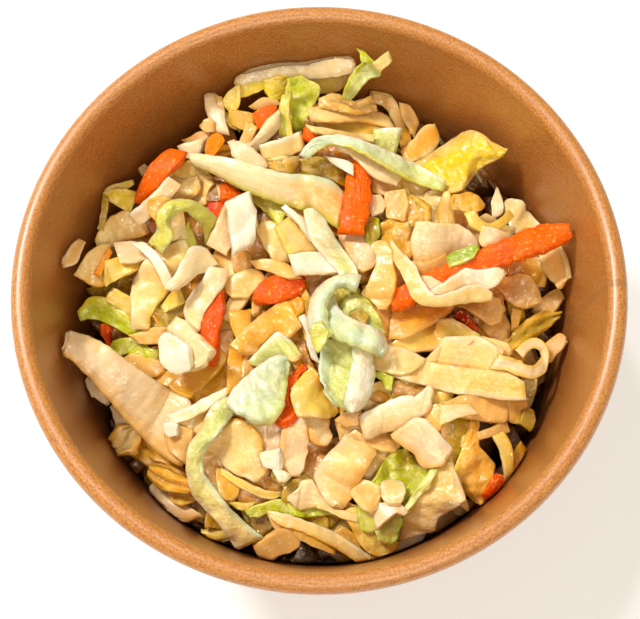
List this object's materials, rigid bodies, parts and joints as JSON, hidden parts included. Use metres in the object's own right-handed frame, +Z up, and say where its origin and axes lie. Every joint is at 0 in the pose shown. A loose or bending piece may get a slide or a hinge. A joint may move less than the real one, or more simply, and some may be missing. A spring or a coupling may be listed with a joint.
{
  "type": "cup of pickled vegetables",
  "caption": "Round kraft paper cup with a rolled rim and recessed base, filled with a loose heap of pickled cabbage and carrot shreds.",
  "frame": {"origin": "centre of the ring that the cup stands on", "axes": "+Z up along the cup's axis, -Y towards the side that the picture was taken from, +X to its right"},
  "size_m": [0.115, 0.115, 0.062],
  "materials": {
    "kraft_paper": "satin brown kraft paper with fine fibres, lined inside",
    "pickled_cabbage": "wet, cream to pale yellow cabbage ribs and shreds",
    "cabbage_leaf": "wet, white-green to yellow-green crinkled leaf",
    "carrot": "wet, bright orange carrot strips"
  },
  "bodies": {
    "root": {"cup_wall": "kraft_paper", "cup_base": "kraft_paper", "pickled_vegetables": "pickled_cabbage"}
  },
  "joints": []
}
